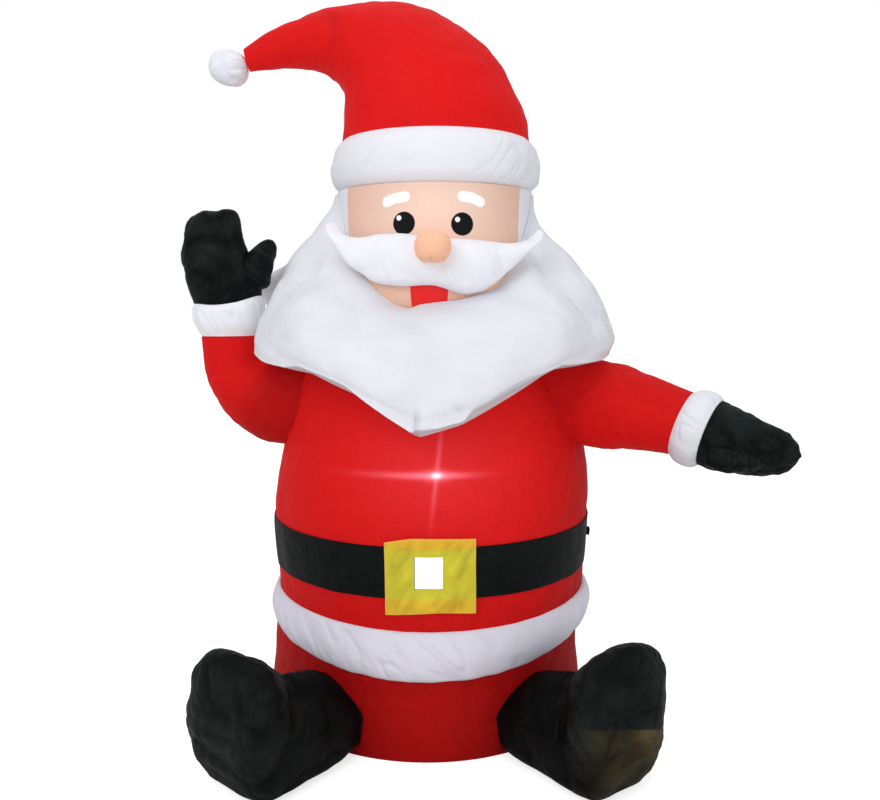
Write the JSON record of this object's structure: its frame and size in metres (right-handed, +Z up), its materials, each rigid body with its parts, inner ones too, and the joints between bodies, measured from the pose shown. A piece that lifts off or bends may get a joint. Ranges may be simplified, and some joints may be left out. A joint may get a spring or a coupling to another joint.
{
  "type": "inflatable santa",
  "caption": "Air-filled fabric santa that sits on its flat underside and waves, with a curled hat, a full beard, a belt and splayed boots.",
  "frame": {"origin": "on the floor in the flat underside, on the axis of the belt", "axes": "+Z up, the figure faces -Y, its own left is +X"},
  "size_m": [0.9669, 0.7287, 1.1907],
  "materials": {
    "red_fabric": "thin woven polyester taffeta, satin",
    "white_fabric": "thin woven polyester taffeta, satin",
    "black_fabric": "thin woven polyester taffeta, satin",
    "yellow_fabric": "thin woven polyester taffeta, satin",
    "flesh_fabric": "thin woven polyester taffeta, satin",
    "black_webbing": "flat polyester webbing, matte"
  },
  "bodies": {
    "root": {"body": "red_fabric", "coat_hem": "white_fabric", "belt": "black_fabric", "buckle": "yellow_fabric", "buckle_centre": "white_fabric", "tether_tab": "black_webbing", "head": "flesh_fabric", "beard": "white_fabric", "moustache": "white_fabric", "nose": "flesh_fabric", "hat_trim": "white_fabric", "hat": "red_fabric", "pompom": "white_fabric", "right_sleeve": "red_fabric", "right_cuff": "white_fabric", "right_mitten": "black_fabric", "left_sleeve": "red_fabric", "left_cuff": "white_fabric", "left_mitten": "black_fabric", "right_boot": "black_fabric", "left_boot": "black_fabric"}
  },
  "joints": []
}
